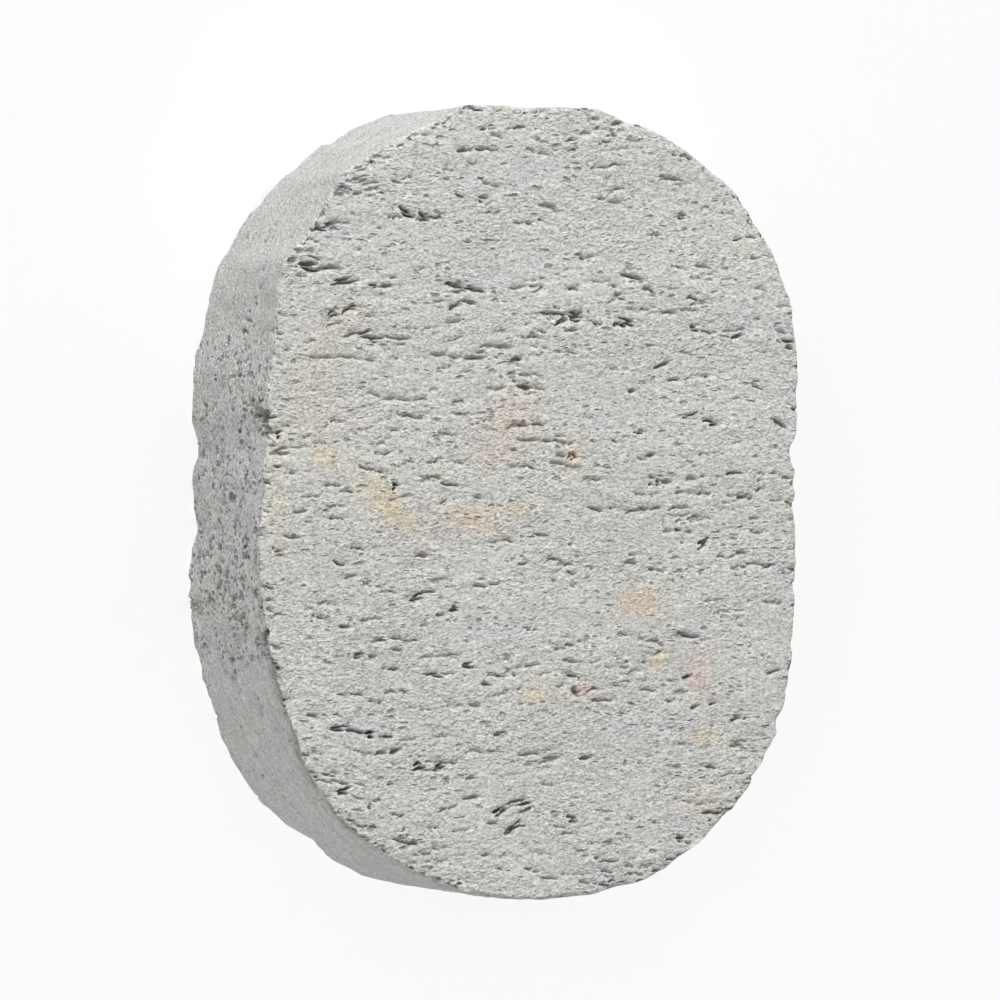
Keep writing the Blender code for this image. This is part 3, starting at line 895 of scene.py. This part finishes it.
class RockPattern:
    """The patterns that the pumice's colour and its relief are both made from."""

    def __init__(self, g):
        self.place = g.place()
        self.set_zones(g)
        self.set_grain(g)
        self.set_small_bubbles(g)

    def set_zones(self, g):
        """Where the rim is rubbed, where bubbles are torn open and where pores crowd the rim."""
        up, side = (g.math("ABSOLUTE", g.attribute("outward_" + axis)) for axis in "zx")
        self.rubbed = g.ramp(up, 0.75, 0.25)
        side = g.sum(side, g.lumps(self.place, (6, 6, 6), 0.25, 2.0, 0.6))
        along = g.math("ABSOLUTE", g.part(self.place, "Y"))
        side = g.sum(side, g.ramp(along, 17.0, 28.0, 0.0, -0.3))
        self.opened = g.math("MAXIMUM", g.rest_of(self.rubbed), g.ramp(side, 0.6, 1.0))
        self.porous = g.ramp(side, 0.7, 1.05)

    def set_grain(self, g):
        """The fibres and grain, the streaks of the rubbed rim and thin broken cracks."""
        swayed = g.swayed(self.place, (3.0, 1.5, 1.5), 0.8)
        self.fibre = g.lumps(swayed, (1.3, 0.75, 0.75), 1.0, 2.0, 0.6)
        self.grain = g.lumps(self.place, (0.38, 0.34, 0.34), 1.0, 1.0, 0.5)
        self.streak = g.lumps(self.place, (3.0, 3.0, 0.7), 1.0, 2.0, 0.6)
        crack = g.lumps(g.swayed(self.place, (1.5, 1.0, 1.0), 0.5), (1.3, 0.5, 0.6), 1.0, 1.0)
        broken = g.ramp(g.noise(self.place, (0.9, 0.7, 0.7), 1.0), 0.5, 0.6)
        self.crack = g.product(g.ramp(g.math("ABSOLUTE", crack), 0.09, 0.02), broken, self.opened)

    def set_small_bubbles(self, g):
        """The bubbles that are too small to carve: slits, and specks that are smaller still, each with a
        painted shadow under its upper lip.
        """
        place = g.swayed(g.swayed(self.place, (5.0, 2.5, 2.5), 0.7), (1.6, 1.0, 1.0), 0.3)
        crowd = g.lumps(self.place, (8, 3, 3), 0.8, 1.0)
        fewer = g.product(g.math("SUBTRACT", self.opened, 1.0), 0.8)
        crowd = g.sum(crowd, fewer, g.product(self.porous, 0.3))
        ragged = g.lumps(self.place, (0.6, 0.3, 0.3), 0.9, 3.0, 0.7)
        slits = g.bubbles(place, (3.2, 1.3, 1.8), (1.2, 0.3, 0.6), g.sum(crowd, -0.2), ragged)
        specks = g.bubbles(place, (1.4, 0.7, 1.0), (0.6, 0.26, 0.45), g.sum(crowd, -0.1), ragged)
        self.slit, self.slit_dark, self.slit_ring = slits
        self.speck, self.speck_dark, self.speck_ring = specks


def rock_colour(g, rock, look):
    """The rock's own colour, with its darker, cooler and warmer patches."""
    base = g.blend(rock.rubbed, colour(look.face), colour(look.rim))
    patch = g.noise(rock.place, (16, 9, 9), 3.0)
    base = g.blend(g.ramp(patch, 0.35, 0.65, 0.0, 0.5), base, colour(look.shade))
    lilac = g.ramp(g.noise(rock.place, (10.0, 6.0, 6.0), 3.0), 0.48, 0.66, 0.0, 0.4)
    far_rim = g.product(rock.rubbed, g.ramp(g.part(rock.place, "Y"), 0.0, 18.0))
    base = g.blend(g.product(lilac, g.rest_of(far_rim)), base, colour(look.lilac))
    tint = g.noise(rock.place, (4.0, 2.0, 2.0), 3.0)
    return g.blend(g.ramp(tint, 0.5, 0.75, 0.0, 0.35), base, colour(look.cream))


def stained(g, rock, base, look):
    """The colour with iron's stains on it, which are mottled."""
    mottle = g.ramp(g.noise(rock.place, (1.0, 0.6, 0.6), 3.0, 0.7), 0.35, 0.58, 0.3, 1.0)
    for name in ("ochre", "rose"):
        strength = g.product(g.attribute(name), mottle, clamp=True)
        base = g.blend(strength, base, colour(getattr(look, name)))
    return base


def toned(g, rock, base):
    """The colour, lighter and darker along the fibres, grain, flecks and rings of bubbles."""
    speckle = g.sum(0.46, g.product(rock.opened, 0.06), g.product(rock.porous, 0.28))
    tone = g.sum(1.0, g.product(rock.fibre, 0.16), g.product(rock.grain, speckle))
    tone = g.sum(tone, g.product(rock.streak, rock.rubbed, 0.3))
    fleck = g.ramp(g.noise(rock.place, (0.55, 0.32, 0.32), 1.0), 0.58, 0.72)
    rings = g.sum(rock.slit_ring, rock.speck_ring)
    tone = g.sum(tone, g.product(rings, 0.12), g.product(fleck, 0.2))
    return g.blend(1.0, base, tone, "MULTIPLY")


def with_painted_shade(g, rock, base, look):
    """The colour with painted shade inside the bubbles, deeper where they are carved deeper, and along the
    cracks, slits and specks; bubbles with iron in them take the rust's own colour.
    """
    uneven = g.sum(1.0, g.product(rock.fibre, 0.8), g.product(rock.grain, 1.3))
    depth = g.product(g.attribute("hollow"), uneven)
    hollow = colour(look.hollow)
    inside = g.blend(g.attribute("rust"), hollow, colour(look.rust))
    # Painted shade that deepens with the carved depth, mixed with the rust's own colour where a bubble
    # holds iron.
    base = g.blend(g.ramp(depth, 0.08, 0.9, 0.0, 0.64), base, inside)
    # Painted shade along the cracks and under the upper lips of the slits and specks.
    base = g.blend(g.product(rock.crack, 0.3), base, hollow)
    base = g.blend(g.product(rock.slit_dark, 0.48), base, hollow)
    speck = g.product(rock.speck_dark, g.sum(0.38, g.product(rock.porous, 0.2)))
    return g.blend(speck, base, hollow)


def relief(g, rock):
    """The normal of a surface that stands up by the fine relief, which is worked out in millimetres."""
    calm = g.ramp(g.noise(rock.place, (11, 7, 7), 1.0), 0.35, 0.65, 0.65, 1.15)
    torn = g.product(g.sum(g.product(rock.fibre, 0.12), g.product(rock.grain, 0.10)), calm)
    torn = g.product(torn, g.sum(1.0, g.product(rock.porous, 0.8)))
    worn = g.sum(g.product(rock.streak, 0.22), g.product(rock.grain, 0.2))
    height = g.sum(g.product(torn, rock.opened), g.product(worn, g.rest_of(rock.opened)))
    height = g.sum(height, g.product(rock.slit, -0.35), g.product(rock.speck, -0.28))
    height = g.sum(height, g.product(rock.crack, -0.06))
    inputs = {"Height": g.product(height, MM), "Distance": 1.0, "Strength": 1.0}
    return g.add("ShaderNodeBump", inputs).outputs["Normal"]


def pumice_material(look):
    """Dull rough rock, full of bubbles, with a rubbed rim."""
    material = bpy.data.materials.new("pumice")
    g = Graph(material)
    rock = RockPattern(g)
    base = stained(g, rock, rock_colour(g, rock, look), look)
    base = with_painted_shade(g, rock, toned(g, rock, base), look)
    g.put(g.shader.inputs["Base Color"], base)
    g.put(g.shader.inputs["Normal"], relief(g, rock))
    g.shader.inputs["Roughness"].default_value = 0.95
    g.shader.inputs["Specular IOR Level"].default_value = 0.2
    return material


def plain_material(name, values, roughness):
    """One colour with no shine."""
    material = bpy.data.materials.new(name)
    shader = Graph(material).shader
    shader.inputs["Base Color"].default_value = colour(values)
    shader.inputs["Roughness"].default_value = roughness
    shader.inputs["Specular IOR Level"].default_value = 0.0
    return material


# Studio


class Lamp(NamedTuple):
    """A round soft light, in metres, that shines on one object only, which is named by lit."""

    name: str
    place: tuple
    size: float
    lit: str
    shadows: bool = True


LAMPS = (
    Lamp("key", (-0.05, 0.97, 0.70), 0.5, STONE),
    Lamp("fill", (-0.94, -0.4, 0.5), 0.8, STONE),
    Lamp("floor", (0.0, 0.0, 3.0), 2.0, "floor", shadows=False),
)


def add_floor(studio):
    """A pale floor under the stone."""
    bm = bmesh.new()
    bmesh.ops.create_grid(bm, x_segments=1, y_segments=1, size=studio.floor_size / 2)
    mesh = bpy.data.meshes.new("floor")
    bm.to_mesh(mesh)
    bm.free()
    floor = bpy.data.objects.new("floor", mesh)
    mesh.materials.append(plain_material("floor", studio.floor_colour, 1.0))
    bpy.context.scene.collection.objects.link(floor)


def aim(obj, place, target, roll=0.0):
    """Puts a light or camera at a place, looking at the target, with its top towards +Y."""
    back = (place - target).normalized()
    right = Vector((0, 1, 0)).cross(back).normalized()
    turned = Matrix((right, back.cross(right), back)).transposed()
    obj.matrix_world = Matrix.Translation(place) @ (turned @ Matrix.Rotation(roll, 3, "Z")).to_4x4()


def add_light(lamp, power, target):
    """A light of this power, in watts, that looks at the target."""
    data = bpy.data.lights.new(lamp.name, "AREA")
    data.shape = "DISK"
    data.size = lamp.size
    data.energy = power
    light = bpy.data.objects.new(lamp.name, data)
    bpy.context.scene.collection.objects.link(light)
    aim(light, Vector(lamp.place), target)
    lit = bpy.data.collections.new("lit_by_" + lamp.name)
    lit.objects.link(bpy.data.objects[lamp.lit])
    light.light_linking.receiver_collection = lit
    if not lamp.shadows:
        light.light_linking.blocker_collection = lit


def add_camera(studio, target):
    """The camera, which leans to the left so that the rim shows beside the upper face."""
    turn = Matrix.Rotation(-studio.view_angle, 3, "Y")
    right, up, back = turn @ Vector((1, 0, 0)), Vector((0, 1, 0)), turn @ Vector((0, 0, 1))
    target = target + right * studio.aim_right + up * studio.aim_up
    lens = bpy.data.cameras.new("camera")
    lens.lens = studio.lens
    lens.sensor_width = 36.0
    lens.clip_start, lens.clip_end = 0.01, 20.0
    camera = bpy.data.objects.new("camera", lens)
    bpy.context.scene.collection.objects.link(camera)
    aim(camera, target + back * studio.view_distance, target, studio.roll)
    bpy.context.scene.camera = camera


def light_world(strength):
    """White light from all around."""
    world = bpy.data.worlds.new("studio")
    world.use_nodes = True
    background = world.node_tree.nodes["Background"]
    background.inputs["Color"].default_value = (1.0, 1.0, 1.0, 1.0)
    background.inputs["Strength"].default_value = strength
    bpy.context.scene.world = world


# Add-on


class StoneShape(bpy.types.PropertyGroup):
    """How the stone is worn and how many bubbles show."""

    edge_wear: bpy.props.FloatProperty(
        name="Edge wear",
        description="Radius of the worn edge between a sawn face and the rim",
        default=0.5 * MM,
        unit="LENGTH",
    )
    bubbles: bpy.props.IntProperty(
        name="Bubbles",
        description="How many strings of small bubbles are opened by chance",
        default=1600,
        min=0,
    )
    edge_bubbles: bpy.props.IntProperty(
        name="Edge bubbles",
        description="How many bubbles break the edges of the two faces",
        default=1500,
        min=0,
    )


class StoneFinish(bpy.types.PropertyGroup):
    """The colours of the rock, of the painted shade in its bubbles, and of its rust and stains."""

    face: bpy.props.FloatVectorProperty(
        name="Face",
        description="Sawn rock",
        subtype="COLOR",
        default=(0.5, 0.503, 0.473),
    )
    shade: bpy.props.FloatVectorProperty(
        name="Shade",
        description="Darker patches of rock",
        subtype="COLOR",
        default=(0.44, 0.445, 0.43),
    )
    rim: bpy.props.FloatVectorProperty(
        name="Rim",
        description="Rubbed rock of the rim",
        subtype="COLOR",
        default=(0.45, 0.457, 0.446),
    )
    lilac: bpy.props.FloatVectorProperty(
        name="Lilac",
        description="Cooler patches of rock",
        subtype="COLOR",
        default=(0.475, 0.46, 0.485),
    )
    cream: bpy.props.FloatVectorProperty(
        name="Cream",
        description="Warmer flecks in the rock",
        subtype="COLOR",
        default=(0.56, 0.52, 0.45),
    )
    # The painted shade inside opened bubbles, slits, specks and cracks, not a colour of the rock itself.
    hollow: bpy.props.FloatVectorProperty(
        name="Hollow",
        description="Inside of an opened bubble",
        subtype="COLOR",
        default=(0.125, 0.108, 0.108),
    )
    rust: bpy.props.FloatVectorProperty(
        name="Rust",
        description="Inside of a bubble with iron in it",
        subtype="COLOR",
        default=(0.15, 0.095, 0.085),
    )
    ochre: bpy.props.FloatVectorProperty(
        name="Ochre",
        description="Yellow iron stain",
        subtype="COLOR",
        default=(0.55, 0.455, 0.29),
    )
    rose: bpy.props.FloatVectorProperty(
        name="Rose",
        description="Pink iron stain",
        subtype="COLOR",
        default=(0.545, 0.42, 0.385),
    )


class StoneStudio(bpy.types.PropertyGroup):
    """The camera, the floor and the power of the lights."""

    view_angle: bpy.props.FloatProperty(
        name="View angle",
        description="How far the camera leans to the left",
        default=math.radians(24),
        subtype="ANGLE",
    )
    roll: bpy.props.FloatProperty(
        name="Roll",
        description="Turn of the camera about its own line of sight",
        default=math.radians(0.2),
        subtype="ANGLE",
    )
    view_distance: bpy.props.FloatProperty(
        name="View distance",
        description="From the camera to the stone's middle",
        default=0.7,
        unit="LENGTH",
    )
    lens: bpy.props.FloatProperty(
        name="Lens",
        description="Focal length",
        default=208.26,
        unit="CAMERA",
    )
    aim_right: bpy.props.FloatProperty(
        name="Aim right",
        description="How far right of the stone's middle the camera looks",
        default=0.63 * MM,
        unit="LENGTH",
    )
    aim_up: bpy.props.FloatProperty(
        name="Aim up",
        description="How far above the stone's middle the camera looks",
        default=0.02 * MM,
        unit="LENGTH",
    )
    floor_size: bpy.props.FloatProperty(
        name="Floor size",
        description="Side of the floor",
        default=6.0,
        unit="LENGTH",
    )
    floor_colour: bpy.props.FloatVectorProperty(
        name="Floor",
        description="Colour of the floor",
        subtype="COLOR",
        default=(0.93, 0.93, 0.93),
    )
    key_power: bpy.props.FloatProperty(
        name="Key power",
        description="Power of the light beyond the top end",
        default=16.1,
        unit="POWER",
    )
    fill_power: bpy.props.FloatProperty(
        name="Fill power",
        description="Power of the light at the left",
        default=3.2,
        unit="POWER",
    )
    floor_power: bpy.props.FloatProperty(
        name="Floor power",
        description="Power of the light on the floor",
        default=62.0,
        unit="POWER",
    )
    world_strength: bpy.props.FloatProperty(
        name="World strength",
        description="Strength of the white light from all around",
        default=0.42,
    )


class PUMICE_OT_stone(bpy.types.Operator):
    """Carve the stone and give it its finish"""

    bl_idname = "pumice.stone"
    bl_label = "Carve Stone"

    def execute(self, context):
        stone = shape_stone(context.scene.pumice_shape)
        stone.data.materials.append(pumice_material(context.scene.pumice_finish))
        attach(stone, "root")
        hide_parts(CAD_NODE)
        return {"FINISHED"}


class PUMICE_OT_studio(bpy.types.Operator):
    """Add the floor, the lights and the camera"""

    bl_idname = "pumice.studio"
    bl_label = "Set Up Studio"

    def execute(self, context):
        studio = context.scene.pumice_studio
        target = Vector((0, 0, THICKNESS * MM / 2))
        add_floor(studio)
        add_camera(studio, target)
        for lamp in LAMPS:
            add_light(lamp, getattr(studio, lamp.name + "_power"), target)
        light_world(studio.world_strength)
        context.scene.view_settings.view_transform = "Standard"
        return {"FINISHED"}


class PUMICE_PT_panel(bpy.types.Panel):
    """The steps in their order, each with its settings and its button"""

    bl_label = "Pumice Stone"
    bl_idname = "PUMICE_PT_panel"
    bl_space_type = "VIEW_3D"
    bl_region_type = "UI"
    bl_category = "Pumice"

    def draw(self, context):
        for operator, group in STEPS:
            box = self.layout.box()
            for settings in group:
                values = getattr(context.scene, settings)
                for name in values.bl_rna.properties.keys():
                    if name not in ("rna_type", "name"):
                        box.prop(values, name)
            box.operator(operator)


STEPS = (
    ("pumice.stone", ("pumice_shape", "pumice_finish")),
    ("pumice.studio", ("pumice_studio",)),
)
SETTINGS = {"pumice_shape": StoneShape, "pumice_finish": StoneFinish, "pumice_studio": StoneStudio}
CLASSES = (*SETTINGS.values(), PUMICE_OT_stone, PUMICE_OT_studio, PUMICE_PT_panel)


def register():
    for cls in CLASSES:
        bpy.utils.register_class(cls)
    for name, cls in SETTINGS.items():
        setattr(bpy.types.Scene, name, bpy.props.PointerProperty(type=cls))


def unregister():
    for name in SETTINGS:
        delattr(bpy.types.Scene, name)
    for cls in reversed(CLASSES):
        bpy.utils.unregister_class(cls)


def main():
    register()
    bpy.ops.pumice.stone()
    bpy.ops.pumice.studio()


if __name__ == "__main__":
    main()
